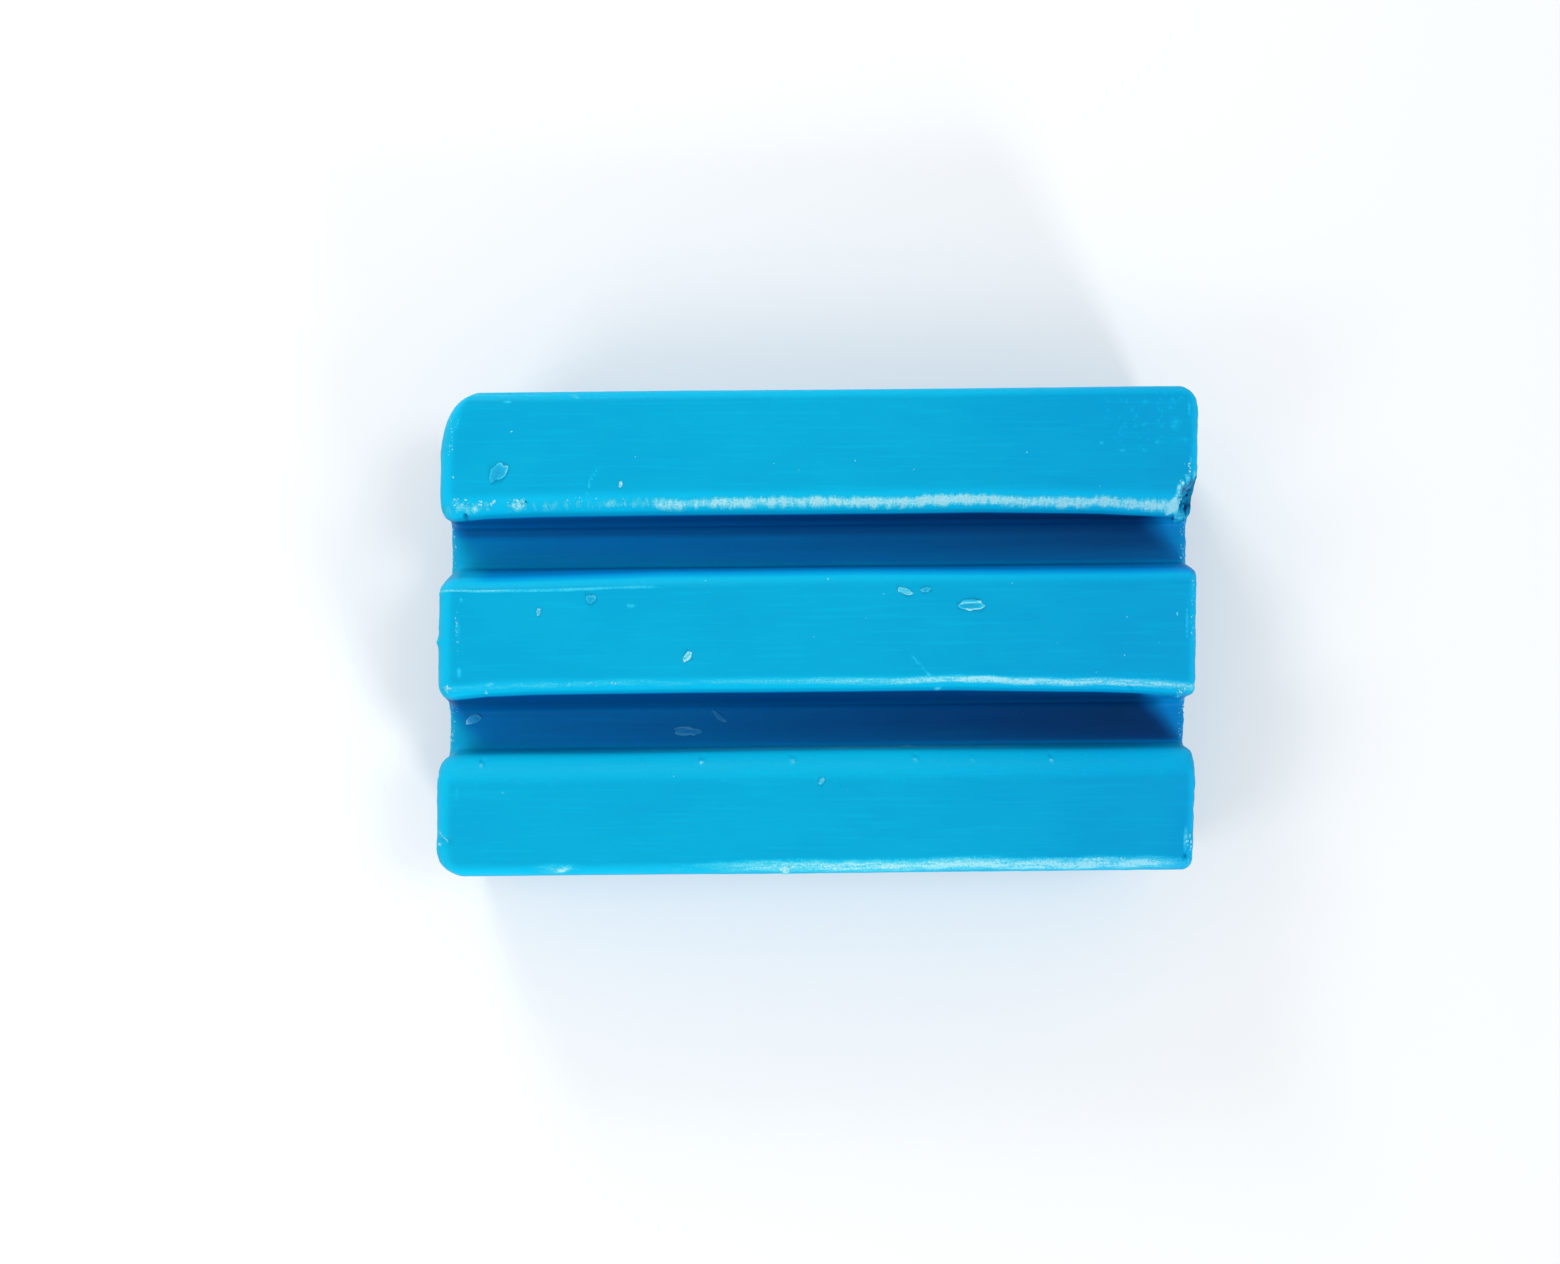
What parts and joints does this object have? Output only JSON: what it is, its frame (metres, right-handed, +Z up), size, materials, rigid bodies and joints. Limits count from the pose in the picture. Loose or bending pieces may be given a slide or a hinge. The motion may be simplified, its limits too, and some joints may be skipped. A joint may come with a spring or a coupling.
{
  "type": "scored modelling compound block",
  "caption": "Rectangular blue block of solid modelling compound, with full-length grooves that score its upper face into ribs and loose flakes lying on it.",
  "frame": {"origin": "middle of the flat underside, level with the surface that the block rests on", "axes": "+X along the ribs, +Y across them towards the back rib, +Z up out of the ribbed face"},
  "size_m": [0.0652, 0.041, 0.0153],
  "materials": {
    "blue_wax": "waxy, softly glossy",
    "pale_wax": "dull, chalky flakes"
  },
  "bodies": {
    "root": {"ribbed_block": "blue_wax", "back_rib_flake_1": "pale_wax", "back_rib_flake_2": "pale_wax", "middle_rib_flake_1": "pale_wax", "middle_rib_flake_2": "pale_wax", "middle_rib_flake_3": "pale_wax", "middle_rib_flake_4": "pale_wax", "middle_rib_flake_5": "pale_wax", "middle_rib_flake_6": "pale_wax", "front_rib_flake_1": "pale_wax", "groove_flake_1": "pale_wax", "groove_flake_2": "pale_wax", "groove_flake_3": "pale_wax"}
  },
  "joints": []
}
